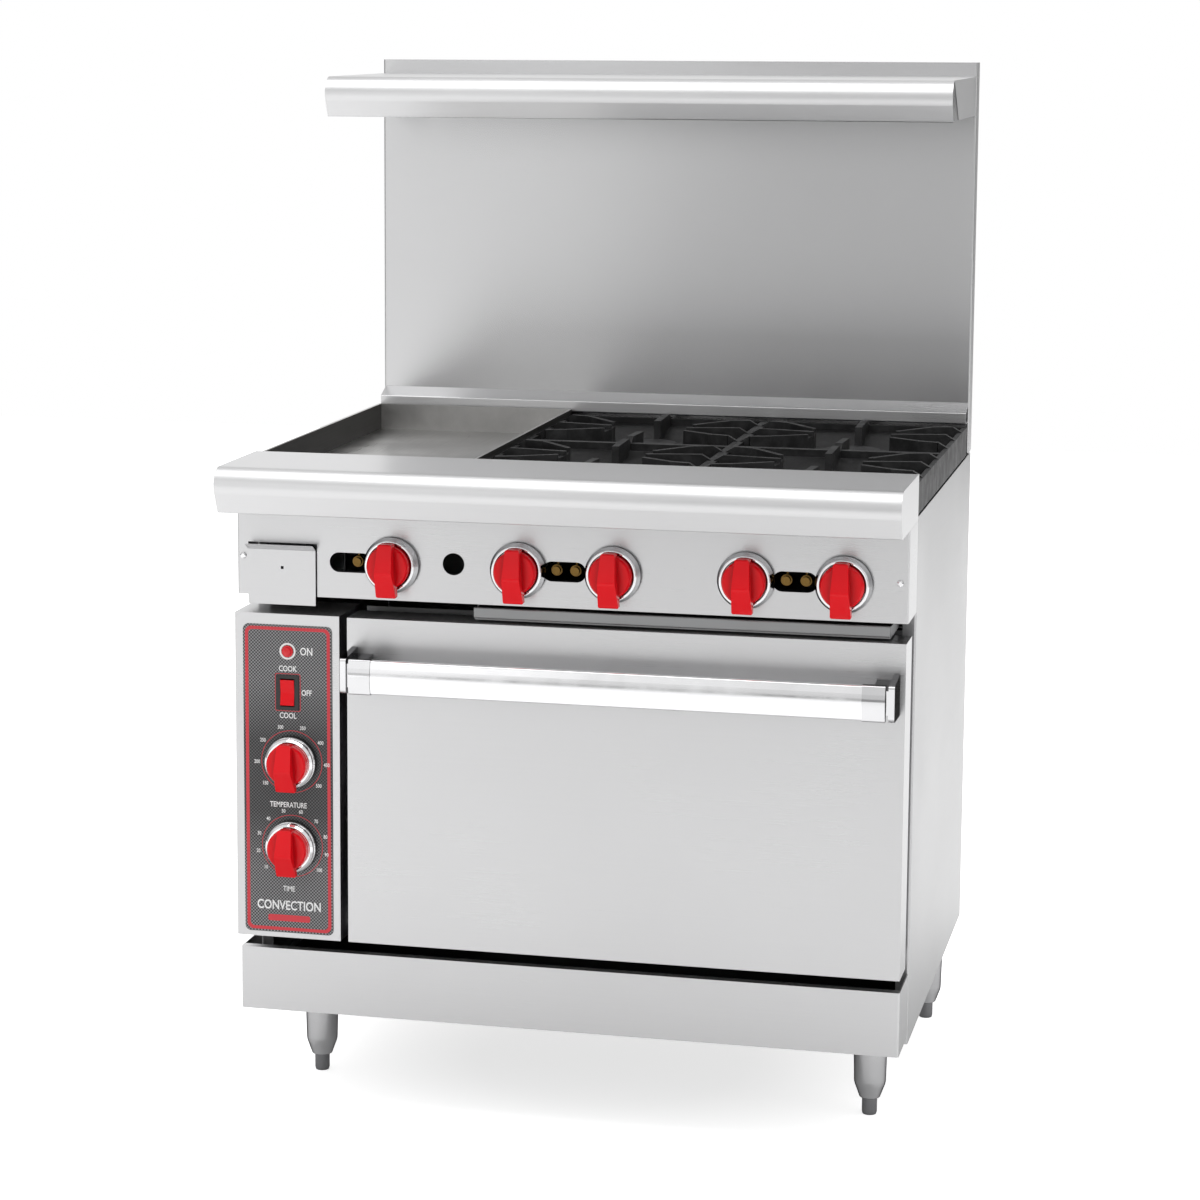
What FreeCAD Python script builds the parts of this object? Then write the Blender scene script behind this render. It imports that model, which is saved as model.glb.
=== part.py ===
import FreeCAD, Part
import math
import os

# Commercial gas range: a 12 in griddle and four open burners over a convection oven.
# Millimetres. +Z is up, the front faces -Y and +X is the viewer's right.
# The origin is on the floor, under the middle of the bounding box.

V = FreeCAD.Vector

# ---------------------------------------------------------------- driving dimensions
width = 914.4
half = width / 2
front_y = -430.0
back_y = 430.0
sheet = 1.5

# heights above the floor
side_bottom = 132.0
kick_bottom = 142.0
kick_top = 230.0
door_bottom = 250.0
door_top = 701.0
panel_bottom = 725.0
ledge_bottom = 848.0
side_top = 853.0
ledge_top = 910.0
riser_top = 1438.0
shelf_top = 1417.0
shelf_lip = 1359.0

# planes from front to back
nose_lean = 0.5
door_face = -346.0
kick_face = -334.0
panel_face = -332.0
side_front = -243.0
riser_face = 400.0
frame_front = side_front + sheet
frame_back = frame_front + 3.0
shelf_front = 81.0
nose_radius = 24.0

# cooktop
top_front = -245.0
top_back = 365.0
divider_x = -150.0
grate_gap = 0.6
grate_top = 906.0
grate_frame_top = 898.0
grate_rest = 856.0
griddle_top = 868.0
griddle_thick = 19.0
splash_top = 907.0
splash_thick = 4.0
burner_height = 774.0

# gas train
knob_height = 774.0
knob_pair_pitch = 129.0
griddle_knob_x = -238.0
manifold_y = -285.0
manifold_z = 738.0
manifold_radius = 16.7
manifold_left = -332.0
supply_radius = 13.335
supply_x = 424.0
drawer_left = -436.0
drawer_right = -349.5
stem_radius = 3.0
running_gap = 0.05

# door and control box
door_left = -298.0
door_right = 457.0
door_shell_back = -286.0
door_back = -254.0
hinge_y = -312.0
hinge_z = 272.0
hinge_xs = (-238.0, 393.0)
hinge_pin_radius = 4.0
hinge_way_front = hinge_y - 14
box_left = -457.0
box_right = -309.0
control_x = -382.0
lamp_z = 651.0
rocker_z = 594.0
dial_x = -377.0
temperature_z = 498.0
timer_z = 380.0

# oven cavity
cavity_left = -256.0
cavity_right = 416.0
cavity_floor = 290.0
cavity_ceiling = 645.0
cavity_back = 320.0
baffle_y = 262.0
fan_x = 80.0
fan_z = 467.0
fan_radius = 90.0
shaft_radius = 6.0
rack_level = 430.0

# legs
leg_spots = ((-396.0, -151.0), (396.0, -151.0), (-420.0, 315.0), (420.0, 315.0))
leg_radius = 24.5
leg_bottom = 24.0
leg_top = 137.0
foot_radius = 10.5
foot_stem_radius = 8.0

# values that follow from the ones above
cell_x = (half - divider_x - splash_thick / 2) / 2
cell_y = (top_back - top_front) / 2
column_xs = (half - 1.5 * cell_x, half - 0.5 * cell_x)
row_ys = (top_front + 0.5 * cell_y, top_front + 1.5 * cell_y)
burner_knob_xs = [
    centre + side * knob_pair_pitch / 2 for centre in (1.5, 308.5) for side in (-1, 1)
]
knob_xs = [griddle_knob_x] + burner_knob_xs


# ---------------------------------------------------------------- shape helpers
def box(x0, x1, y0, y1, z0, z1):
    """Box between two limits on each axis."""
    return Part.makeBox(x1 - x0, y1 - y0, z1 - z0, V(x0, y0, z0))


def rod(radius, start, end):
    """Round bar from one point to another."""
    start, end = V(*start), V(*end)
    return Part.makeCylinder(radius, (end - start).Length, start, end - start)


def join(shapes):
    """One solid from overlapping or touching solids."""
    return shapes[0].multiFuse(shapes[1:]).removeSplitter()


def on_plane(plane, a, b):
    """Point with the two given coordinates on one of the row planes."""
    return {"yz": V(0, a, b), "xz": V(a, 0, b), "xy": V(a, b, 0)}[plane]


def rounded_face(points, radii, plane):
    """Flat face with the given corners, each rounded by its own radius."""
    corners = []
    for i, point in enumerate(points):
        here = on_plane(plane, *point)
        to_last = (on_plane(plane, *points[i - 1]) - here).normalize()
        to_next = (on_plane(plane, *points[(i + 1) % len(points)]) - here).normalize()
        if radii[i] == 0:
            corners.append((here, here, here))
            continue
        half_angle = to_last.getAngle(to_next) / 2
        reach = radii[i] / math.tan(half_angle)
        inward = (to_last + to_next).normalize()
        centre = here + inward * (radii[i] / math.sin(half_angle))
        corners.append((here + to_last * reach, centre - inward * radii[i], here + to_next * reach))
    edges = []
    for i, (start, middle, end) in enumerate(corners):
        if (end - start).Length > 1e-6:
            edges.append(Part.Arc(start, middle, end).toShape())
        following = corners[(i + 1) % len(corners)][0]
        if (following - end).Length > 1e-6:
            edges.append(Part.makeLine(end, following))
    return Part.Face(Part.Wire(edges))


def extruded(points, radii, plane, low, high):
    """Solid of constant outline between two values of the remaining axis."""
    if isinstance(radii, (int, float)):
        radii = [radii] * len(points)
    normal = {"yz": V(1, 0, 0), "xz": V(0, 1, 0), "xy": V(0, 0, 1)}[plane]
    face = rounded_face(points, radii, plane)
    face.translate(normal * low)
    return face.extrude(normal * (high - low))


def folded_sheet(path, thick, bends, plane, low, high):
    """Bent sheet: the path is one skin and the metal lies on the path's left."""
    steps = [(b[0] - a[0], b[1] - a[1]) for a, b in zip(path, path[1:])]
    normals = []
    for dx, dy in steps:
        length = math.hypot(dx, dy)
        normals.append((-dy / length, dx / length))
    other, near, far = [], [], []
    for i, (x, y) in enumerate(path):
        before = normals[max(i - 1, 0)]
        after = normals[min(i, len(normals) - 1)]
        scale = thick / (1 + before[0] * after[0] + before[1] * after[1])
        other.append((x + (before[0] + after[0]) * scale, y + (before[1] + after[1]) * scale))
        if i in (0, len(path) - 1):
            near.append(0)
            far.append(0)
            continue
        turns_left = before[0] * after[1] - before[1] * after[0] > 0
        bend = bends[i - 1]
        near.append(bend if turns_left else max(bend - thick, 0))
        far.append(max(bend - thick, 0) if turns_left else bend)
    return extruded(path + other[::-1], near + far[::-1], plane, low, high)


def turned(points, radii):
    """Solid of revolution about Z from (radius, height) corners."""
    if isinstance(radii, (int, float)):
        radii = [0 if r == 0 else radii for r, z in points]
    return rounded_face(points, radii, "xz").revolve(V(0, 0, 0), V(0, 0, 1), 360)


def facing_front(shape, x, y, z):
    """Turns a shape's +Z to the front and puts its base at a point."""
    placed = shape.copy()
    placed.rotate(V(0, 0, 0), V(1, 0, 0), 90)
    placed.translate(V(x, y, z))
    return placed


def pan(x0, x1, y0, y1, z0, z1, wall, open_side):
    """Box of sheet with one open side, named as the axis and end."""
    outer = {"x0": x0, "x1": x1, "y0": y0, "y1": y1, "z0": z0, "z1": z1}
    inner = {side: at + (wall if side.endswith("0") else -wall) for side, at in outer.items()}
    inner[open_side] = outer[open_side] + (-1 if open_side.endswith("0") else 1)
    return box(**outer).cut(box(**inner))


def wall(start, end, thick, bottom, top_start, top_end):
    """Upright rib between two plan points, with a sloping top edge."""
    along = V(end[0] - start[0], end[1] - start[1], 0)
    side = V(-along.y, along.x, 0).normalize() * (thick / 2)
    corners = [
        V(start[0], start[1], bottom) - side,
        V(end[0], end[1], bottom) - side,
        V(end[0], end[1], top_end) - side,
        V(start[0], start[1], top_start) - side,
    ]
    return Part.Face(Part.makePolygon(corners + corners[:1])).extrude(side * 2)


def pill(x, z, long, high, y0, y1):
    """Round-ended bar along X, used to cut slots in upright sheets."""
    x0, x1, z0, z1 = x - long / 2, x + long / 2, z - high / 2, z + high / 2
    return extruded([(x0, z0), (x1, z0), (x1, z1), (x0, z1)], high / 2 - 0.1, "xz", y0, y1)


def both_sides(shape):
    """The shape and its mirror image across the middle of the range."""
    return Part.makeCompound([shape, shape.mirror(V(0, 0, 0), V(1, 0, 0))])


def save(name, shape):
    """Writes one node's STEP file."""
    shape.exportStep("parts/" + name + ".step")


# ---------------------------------------------------------------- body
def base_frame():
    """Welded tube ring on the four legs, with two arms that carry the kick plate."""
    tube = 30.0
    bottom, top = kick_bottom, kick_bottom + tube
    edge, front, back = half - 3, side_front + 3, back_y - 20
    outer = box(-edge, edge, front, back, bottom, top)
    inner = box(-edge + tube, edge - tube, front + tube, back - tube, bottom, top)
    pieces = [outer.cut(inner)]
    for x, y in leg_spots:
        plate = 35.0
        pieces.append(box(x - plate, x + plate, y - plate, y + plate, leg_top, bottom))
        pieces.append(box(x - plate, x + plate, y - 10, y + 10, bottom, bottom + 5))
    for x in (-380.0, 380.0):
        pieces.append(box(x - 10, x + 10, kick_face + sheet, side_front + 3, bottom + 5, bottom + 25))
    for side in (-1, 1):
        pieces.append(box(*sorted((side * 380, side * 450)), -170, -140, bottom, bottom + 5))
    return join(pieces)


def side_panel():
    """Right-hand side panel with turned-in front and rear edges."""
    path = [(half - 18, side_front), (half, side_front), (half, back_y), (half - 14, back_y)]
    return folded_sheet(path, sheet, (3, 3), "xy", side_bottom, side_top)


def back_panel():
    """Rear closing sheet with cooling slots and a hole for the gas supply."""
    plate = box(-half + 2, half - 2, 415, 415 + sheet, 150, 900)
    slots = []
    for row in range(4):
        for column in range(6):
            slots.append(pill(-250 + column * 100, 300 + row * 26, 68, 8, 410, 420))
    hole = rod(22, (supply_x, 410, manifold_z), (supply_x, 420, manifold_z))
    return plate.cut(Part.makeCompound(slots + [hole]))


def kick_plate():
    """Skirt below the door: a front sheet with side returns and a folded top."""
    edge, rear = half - 1, side_front - 1
    path = [(-edge, rear), (-edge, kick_face), (edge, kick_face), (edge, rear)]
    skirt = folded_sheet(path, sheet, (3, 3), "xy", kick_bottom, kick_top)
    top = box(-half + 2, half - 2, kick_face + 1, kick_face + 14, kick_top - sheet, kick_top)
    return join([skirt, top])


def nosed_front(front, top, bottom):
    """Upper and lower corners of a leaning front whose rounded nose just reaches a plane."""
    corner = front - nose_radius * (nose_lean + math.hypot(1, nose_lean) - 1)
    return (corner, top), (corner + nose_lean * (top - bottom), bottom)


def front_ledge():
    """Belly rail in front of the cooktop, with welded ends."""
    corner, lip = nosed_front(front_y, ledge_top, ledge_bottom)
    tail = panel_face + 0.5
    path = [(top_front, ledge_top - 44), (top_front, ledge_top), corner, lip, (tail, ledge_bottom)]
    pieces = [folded_sheet(path, sheet, (2, nose_radius, 2), "yz", -half, half)]
    end = [(top_front, ledge_top), corner, lip, (top_front, ledge_bottom)]
    for x in (-half, half - sheet):
        pieces.append(extruded(end, [0, nose_radius, 0, 0], "yz", x, x + sheet))
    return join(pieces)


def control_panel():
    """Front panel behind the knobs, with pilot windows and the grease drawer's opening."""
    top = ledge_bottom - 0.2
    rear = side_front - 0.5
    path = [(-half, rear), (-half, panel_face), (half, panel_face), (half, rear)]
    panel = folded_sheet(path, sheet, (3, 3), "xy", panel_bottom, top)
    lip = box(-half + 2, half - 2, panel_face + 1, panel_face + 18, panel_bottom, panel_bottom + sheet)
    tools = [box(-441.5, -344, panel_face - 5, panel_face + 30, panel_bottom - 1, 797.5)]
    for x in (-296.0, -1.0, 308.0):
        tools.append(pill(x, knob_height, 60, 27, panel_face - 5, panel_face + 10))
    tools.append(rod(15, (-153, panel_face - 5, 778), (-153, panel_face + 10, 778)))
    for x in knob_xs:
        tools.append(rod(7, (x, panel_face - 5, knob_height), (x, panel_face + 10, knob_height)))
    return join([panel, lip]).cut(Part.makeCompound(tools))


def burner_box():
    """Welded frame under the cooktop: side walls, rails, burner rests and tray runners."""
    left, right = divider_x + 8, 441.0
    front, back = frame_back + 5, top_back - 5
    rail_bottom, rail_top = grate_rest - 22, grate_rest - 10
    pieces = []
    for face, outward, runner in ((left, -3, 25), (right, 3, -16)):
        pieces.append(box(*sorted((face, face + outward)), front, back, 701, grate_rest))
        pieces.append(box(*sorted((face, face + runner)), front, back, 701, 703))
    for y in (front, top_front + cell_y - 5, back - 8):
        pieces.append(box(left - 3, right + 3, y, y + 8, rail_bottom, grate_rest))
    for side in (-1, 1):
        x0, x1 = sorted((side * (half - 2), side * (half - 12)))
        pieces.append(box(x0, x1, frame_back, top_back, rail_bottom, rail_top))
    for y in (-190, back - 3):
        pieces.append(box(-half + 2, left, y, y + 8, rail_bottom, rail_top))
    for y in (front, back - 8):
        pieces.append(box(right, half - 2, y, y + 8, rail_bottom, rail_top))
    for y in row_ys:
        pieces.append(box(left - 3, right + 3, y + 22, y + 40, 751, 757))
    for x in (drawer_left - 1, drawer_right + 1):
        side = 1 if x < griddle_knob_x - 140 else -1
        pieces.append(box(*sorted((x - side * 2, x)), -190, -182, 719.5, rail_bottom))
        pieces.append(box(*sorted((x - side * 2, x + side * 10)), -300, -95, 719.5, 721.5))
    supply_way = box(supply_x - 16, supply_x + 16, -300, 420, manifold_z - 16, manifold_z + 15)
    return join(pieces).cut(supply_way)


# ---------------------------------------------------------------- griddle
def griddle():
    """Thick plate with welded splash guards and a grease trough along its front."""
    left, right = -half + sheet + 0.3, divider_x + splash_thick / 2
    front, low_front = top_front + 0.5, frame_back + 1
    bottom = griddle_top - griddle_thick
    trough_back, trough_floor = low_front + 36, bottom - 9
    gutter = left + 14
    pieces = [
        box(left, right, trough_back, top_back, bottom, griddle_top),
        box(left, right, top_back - splash_thick, top_back, bottom, splash_top),
        box(left, right, low_front, low_front + 2.5, bottom - 2, griddle_top),
        box(gutter, right, low_front, low_front + 2.5, trough_floor, bottom),
        box(gutter, right, low_front, trough_back + 3, trough_floor, trough_floor + 2.5),
        box(gutter, right, trough_back, trough_back + 3, trough_floor, bottom),
        box(gutter, gutter + 2.5, low_front, trough_back + 3, trough_floor, bottom),
        box(left, gutter + 2.5, low_front, trough_back + 3, bottom - 2, bottom),
        box(right - 2.5, right, low_front, trough_back + 3, trough_floor, bottom),
    ]
    for x in (left, right - splash_thick):
        pieces.append(box(x, x + splash_thick, low_front, top_back, bottom, splash_top))
        pieces.append(box(x, x + splash_thick, front, low_front, side_top + 0.5, splash_top))
    spout_x0, spout_x1 = -425.0, -365.0
    spout_y0, spout_y1 = low_front + 4, low_front + 30
    pieces.append(box(spout_x0 - 2, spout_x1 + 2, spout_y0 - 2, spout_y1 + 2, 806, trough_floor))
    way = box(spout_x0, spout_x1, spout_y0, spout_y1, 800, trough_floor + 3)
    return join(pieces).cut(way)


def griddle_burner():
    """Two straight tube burners under the plate, fed by one mixer tube."""
    tube, crossing, riser, level = 15.0, 12.0, 10.5, 805.0
    back = top_back - 40
    near_x, far_x = griddle_knob_x, griddle_knob_x - 140
    crossing_y, riser_y = top_front + 100, -160.0
    pieces = [
        rod(tube, (near_x, top_front + 50, level), (near_x, back, level)),
        rod(tube, (far_x, top_front + 85, level), (far_x, back, level)),
        rod(crossing, (far_x, crossing_y, level), (near_x, crossing_y, level)),
        rod(13, (near_x, -238, knob_height), (near_x, -140, knob_height)),
        rod(riser, (near_x, riser_y, knob_height), (near_x, riser_y, level)),
        mixer_flare(near_x),
    ]
    return join(pieces).cut(rod(9, (near_x, -245, knob_height), (near_x, riser_y - 18, knob_height)))


def mixer_flare(x):
    """Flared mouth of a mixer tube, facing its valve."""
    return Part.makeCone(20, 13, 22, V(x, -242, knob_height), V(0, 1, 0))


def grease_drawer():
    """Pan under the griddle's spout, pulled out by its turned-out top lip."""
    front = folded_sheet(
        [(-335, 713), (-335, 789), (-349, 797)], 1.2, (2,), "yz", -440.5, -345
    )
    tray = pan(drawer_left, drawer_right, -333.8, -90, 722, 784, 1.2, "z1")
    hook = box(drawer_left, drawer_right, -335.5, -333, 722, 784)
    hole = box(-394, -390, -340, -331, 762, 766)
    return join([front, tray, hook]).cut(hole)


def crumb_tray():
    """Wide drip tray that slides out between the oven door and the control panel."""
    tray = pan(-124, 434, -330, 352, 704, 719, 1.2, "z1")
    path = [(-329, 721), (-335, 721), (-335, 706.5), (-329, 706.5)]
    front = folded_sheet(path, 1.2, (2, 2), "yz", -124, 434)
    return join([tray, front])


# ---------------------------------------------------------------- open burners
def burner_head():
    """Cast star head with flame slots round its rim."""
    head = turned([(0, 852), (34, 852), (40, 862), (50, 866), (50, 874), (40, 880), (0, 880)], 1.2)
    slots = []
    for i in range(16):
        slot = box(26, 60, -2.2, 2.2, 867, 871)
        slot.rotate(V(0, 0, 0), V(0, 0, 1), i * 22.5)
        slots.append(slot)
    recess = rod(17, (0, 0, 851), (0, 0, 858))
    return head.cut(Part.makeCompound(slots + [recess]))


def burner_heads():
    """The four identical heads over their venturis."""
    heads = []
    for x in column_xs:
        for y in row_ys:
            head = burner_head()
            head.translate(V(x, y, 0))
            heads.append(head)
    return Part.makeCompound(heads)


def venturi(valve_x, burner_x, burner_y):
    """Mixer tube from a valve to the neck under one burner head."""
    radius = 15.0
    pieces = [
        mixer_flare(valve_x),
        rod(radius, (valve_x, -225, burner_height), (valve_x, burner_y, burner_height)),
        Part.makeSphere(radius, V(valve_x, burner_y, burner_height)),
        rod(radius, (valve_x, burner_y, burner_height), (burner_x, burner_y, burner_height)),
        Part.makeSphere(radius + 1.5, V(burner_x, burner_y, burner_height)),
        rod(radius + 1.5, (burner_x, burner_y, burner_height), (burner_x, burner_y, 858)),
        rod(24, (burner_x, burner_y, 846), (burner_x, burner_y, 852)),
    ]
    bore = rod(10, (valve_x, -245, burner_height), (valve_x, burner_y - 20, burner_height))
    neck = rod(11, (burner_x, burner_y, burner_height + 20), (burner_x, burner_y, 860))
    return join(pieces).cut(Part.makeCompound([bore, neck]))


def burner_venturis():
    """Rear burners are fed by each pair's left valve, front burners by its right valve."""
    tubes = []
    for column, burner_x in enumerate(column_xs):
        rear_valve, front_valve = burner_knob_xs[2 * column: 2 * column + 2]
        tubes.append(venturi(rear_valve, burner_x, row_ys[1]))
        tubes.append(venturi(front_valve, burner_x, row_ys[0]))
    return Part.makeCompound(tubes)


def frustum(top_half_x, top_half_y, bottom_half, top, bottom):
    """Four-sided funnel solid between two rectangles."""
    wires = []
    for hx, hy, z in ((top_half_x, top_half_y, top), (bottom_half, bottom_half, bottom)):
        corners = [V(-hx, -hy, z), V(hx, -hy, z), V(hx, hy, z), V(-hx, hy, z), V(-hx, -hy, z)]
        wires.append(Part.makePolygon(corners))
    return Part.makeLoft(wires, True, True)


def grate():
    """Cast-iron grate for one burner: deep frame, funnel bowl and eight fingers."""
    hx, hy = (cell_x - grate_gap) / 2, (cell_y - grate_gap) / 2
    rim, rib, bowl = 7.0, 8.0, 5.0
    foot = grate_rest + 0.3
    frame = box(-hx, hx, -hy, hy, foot, grate_frame_top)
    frame = frame.cut(box(-hx + rim, hx - rim, -hy + rim, hy - rim, foot, grate_frame_top))
    funnel = frustum(hx - rim + 1, hy - rim + 1, 76, 888, 866)
    above = frustum(hx - rim - 3, hy - rim - 3, 72, 888.5, 866 + bowl)
    hole = rod(57, (0, 0, 850), (0, 0, 895))
    pieces = [frame, funnel.cut(above).cut(hole)]
    low, slope = 864.0, 14.0
    for side in (-1, 1):
        edge, crest = side * (hx - 1), side * (hx - 1 - slope)
        pieces.append(wall((edge, 0), (crest, 0), rib, low, grate_frame_top, grate_top))
        pieces.append(wall((crest, 0), (side * 60, 0), rib, low, grate_top, grate_top - 2))
        for bank in (-1, 1):
            shoulder, tip = (side * 108, bank * 84), (side * 63, bank * 38)
            root = bank * 93
            pieces.append(wall((edge, root), (crest, root), rib, low, grate_frame_top, grate_top))
            pieces.append(wall((crest, root), shoulder, rib, low, grate_top, grate_top))
            pieces.append(rod(rib / 2, (*shoulder, low), (*shoulder, grate_top)))
            pieces.append(wall(shoulder, tip, rib, low, grate_top, grate_top - 2))
            pieces.append(rod(rib / 2, (*tip, low), (*tip, grate_top - 2)))
            pieces.append(wall(tip, (side * 60, 0), rib, low, grate_top - 8, grate_top - 8))
        pieces.append(rod(rib / 2, (side * 60, 0, low), (side * 60, 0, grate_top - 2)))
        edge, crest = side * (hy - 1), side * (hy - 1 - slope)
        pieces.append(wall((0, edge), (0, crest), rib + 2, low, grate_frame_top, grate_top))
        pieces.append(wall((0, crest), (0, side * 64), rib + 2, low, grate_top, grate_top - 2))
    return join(pieces)


# ---------------------------------------------------------------- gas train
def manifold_pipe():
    """Straight pipe behind the control panel that feeds the valves."""
    ends = ((manifold_left, manifold_y, manifold_z), (supply_x + 12, manifold_y, manifold_z))
    return rod(manifold_radius, *ends)


def gas_manifold():
    """Manifold with end caps and the supply pipe that runs to the back of the range."""
    caps = [
        rod(18, (x, manifold_y, manifold_z), (x + 16, manifold_y, manifold_z))
        for x in (manifold_left - 2, supply_x)
    ]
    supply = rod(supply_radius, (supply_x, manifold_y, manifold_z), (supply_x, back_y, manifold_z))
    bore = rod(supply_radius - 2.9, (supply_x, 300, manifold_z), (supply_x, back_y, manifold_z))
    union = rod(20, (supply_x, 398, manifold_z), (supply_x, back_y - 12.5, manifold_z))
    return join([manifold_pipe(), supply, union] + caps).cut(bore)


def gas_valve(x):
    """Brass valve screwed into the manifold, with its orifice hood facing the burner."""
    y0 = panel_face + 6
    body = join([
        rod(8, (x, y0, knob_height), (x, y0 + 14, knob_height)),
        rod(12, (x, y0 + 14, knob_height), (x, manifold_y + 22, knob_height)),
        rod(9, (x, manifold_y, manifold_z), (x, manifold_y, knob_height)),
        rod(5, (x, manifold_y + 22, knob_height), (x, -246, knob_height)),
    ])
    bore = rod(stem_radius + running_gap, (x, y0, knob_height), (x, y0 + 24, knob_height))
    return body.cut(Part.makeCompound([manifold_pipe(), bore]))


def gas_valves():
    """One valve per knob."""
    return Part.makeCompound([gas_valve(x) for x in knob_xs])


def pilot(x, run_x, level, end_y, tip_top):
    """Brass pilot adjuster behind a panel window, with the tube that runs to its flame tip."""
    start_y = panel_face + 8
    tube = 2.5
    route = [
        (x, start_y + 13, knob_height), (x, start_y + 13, level), (run_x, start_y + 13, level),
        (run_x, end_y, level), (run_x, end_y, tip_top),
    ]
    pieces = [
        rod(5.5, (x, start_y, knob_height), (x, start_y + 16, knob_height)),
        rod(7.5, (x, start_y + 5, knob_height), (x, start_y + 12, knob_height)),
        rod(4.0, (run_x, end_y, tip_top - 10), (run_x, end_y, tip_top)),
    ]
    for start, end in zip(route, route[1:]):
        if start != end:
            pieces.append(rod(tube, start, end))
            pieces.append(Part.makeSphere(tube, V(*start)))
    return join(pieces)


def pilots():
    """A pilot per open burner, and one for the griddle."""
    pieces = [pilot(-290.0, -290.0, 826.0, -120.0, 836.0)]
    for centre in (-1.0, 308.0):
        for side, end_y in ((-1, row_ys[1] - 46), (1, row_ys[0] + 46)):
            pieces.append(pilot(centre + side * 13, centre + side * 27, 793.0, end_y, 864.0))
    return Part.makeCompound(pieces)


def knob_bezels():
    """Bright rings on the control panel, one round each gas knob."""
    profile = [(30.5, 0), (36, 0), (36, 2), (38, 2), (38, 7), (34, 17), (30.5, 17)]
    ring = turned(profile, [0, 0, 0, 0.6, 2, 2, 0.6])
    return Part.makeCompound([facing_front(ring, x, panel_face, knob_height) for x in knob_xs])


def grip(base, crest, top_y, bottom_y):
    """Raised bar of a knob: narrow at its upper end, with a long bevel at its lower end."""
    front = [(-9.5, top_y), (-14, bottom_y), (14, bottom_y), (9.5, top_y)]
    outline = extruded(front, 3, "xy", base, crest + 5)
    side = [(top_y, base), (top_y, crest - 10), (-6, crest), (bottom_y, crest - 18), (bottom_y, base)]
    bevel = extruded(side, [0, 3, 8, 3, 0], "yz", -20, 20)
    return outline.common(bevel)


def gas_knob():
    """Red moulded knob with its valve stem."""
    disc = turned([(0, 5), (28, 5), (29, 8), (29, 26), (26.5, 30), (0, 30)], 1)
    stem = rod(stem_radius, (0, 0, -26), (0, 0, 8))
    return join([disc, grip(24, 50, 33, -41), stem])


def dial_knob():
    """Oven control knob: dark skirt, bright ring and a red grip."""
    profile = [
        (0, 1), (36, 1), (36, 8), (34, 9), (34, 15), (31, 18), (28, 18), (28, 27), (26, 30), (0, 30),
    ]
    skirt = turned(profile, 0.8)
    stem = rod(stem_radius, (0, 0, -22), (0, 0, 4))
    return join([skirt, grip(24, 47, 30, -37), stem])


# ---------------------------------------------------------------- oven
def oven_sides():
    """Left and right cavity walls."""
    left = box(cavity_left - sheet, cavity_left, frame_back, cavity_back, cavity_floor, cavity_ceiling)
    right = left.translated(V(cavity_right + sheet - cavity_left, 0, 0))
    return Part.makeCompound([left, right])


def oven_plate(z):
    """Flat sheet across the cavity."""
    return box(cavity_left - sheet, cavity_right + sheet, frame_back, cavity_back, z, z + sheet)


def oven_floor():
    """Cavity floor with heat slots along both sides."""
    plate = oven_plate(cavity_floor - sheet)
    slots = []
    for x in (cavity_left + 24, cavity_right - 24):
        for i in range(6):
            y = -160 + i * 70
            slots.append(box(x - 7, x + 7, y - 25, y + 25, cavity_floor - 5, cavity_floor + 5))
    return plate.cut(Part.makeCompound(slots))


def oven_back():
    """Rear cavity wall with the fan shaft's hole."""
    low, high = cavity_floor - sheet, cavity_ceiling + sheet
    plate = box(cavity_left - sheet, cavity_right + sheet, cavity_back, cavity_back + sheet, low, high)
    return plate.cut(rod(14, (fan_x, cavity_back - 5, fan_z), (fan_x, cavity_back + 5, fan_z)))


def oven_front_frame():
    """Face plate round the oven's mouth, between the side panels."""
    plate = box(-300, half - 3, frame_front, frame_back, 240, 699)
    low, high = cavity_floor + 4, cavity_ceiling - 4
    return plate.cut(box(cavity_left + 4, cavity_right - 4, frame_front - 5, frame_back + 5, low, high))


def rack_guides():
    """Ladder of rack supports on each cavity wall."""
    ladders = []
    for inner, side in ((cavity_left, 1), (cavity_right, -1)):
        pieces = []
        for y in (-200, 220):
            x0, x1 = sorted((inner, inner + side * 3))
            pieces.append(box(x0, x1, y, y + 16, 320, 600))
        for i in range(4):
            z = rack_level - 90 + i * 66
            x0, x1 = sorted((inner, inner + side * 16))
            pieces.append(box(x0, x1, -228, 250, z - 2, z))
        ladders.append(join(pieces))
    return Part.makeCompound(ladders)


def oven_rack():
    """Wire rack: a heavy rim, cross bars and a row of thin wires."""
    level = rack_level - 90 + 66 + 0.4
    rim, wire = 3.5, 2.0
    x0, x1, y0, y1 = cavity_left + 9, cavity_right - 9, -222.0, 242.0
    z = level + rim
    pieces = [
        rod(rim, (x0, y0, z), (x1, y0, z)),
        rod(rim, (x0, y1, z), (x1, y1, z)),
        rod(rim, (x0, y0, z), (x0, y1, z)),
        rod(rim, (x1, y0, z), (x1, y1, z)),
        rod(rim, (x0, 10, z), (x1, 10, z)),
    ]
    for x, y in ((x0, y0), (x1, y0), (x1, y1), (x0, y1)):
        pieces.append(Part.makeSphere(rim, V(x, y, z)))
    count = 24
    for i in range(1, count):
        x = x0 + (x1 - x0) * i / count
        pieces.append(rod(wire, (x, y0, z + 2.5), (x, y1, z + 2.5)))
    return join(pieces)


def oven_burner():
    """Twin tube burner below the oven floor."""
    z, radius = 262.0, 14.0
    left, right, front, back = fan_x - 130, fan_x + 130, -150.0, 260.0
    return join([
        rod(radius, (left, front, z), (left, back, z)),
        rod(radius, (right, front, z), (right, back, z)),
        rod(radius, (left, front, z), (right, front, z)),
        Part.makeSphere(radius, V(left, front, z)),
        Part.makeSphere(radius, V(right, front, z)),
        rod(11, (fan_x, front - 55, z), (fan_x, front, z)),
    ])


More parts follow.
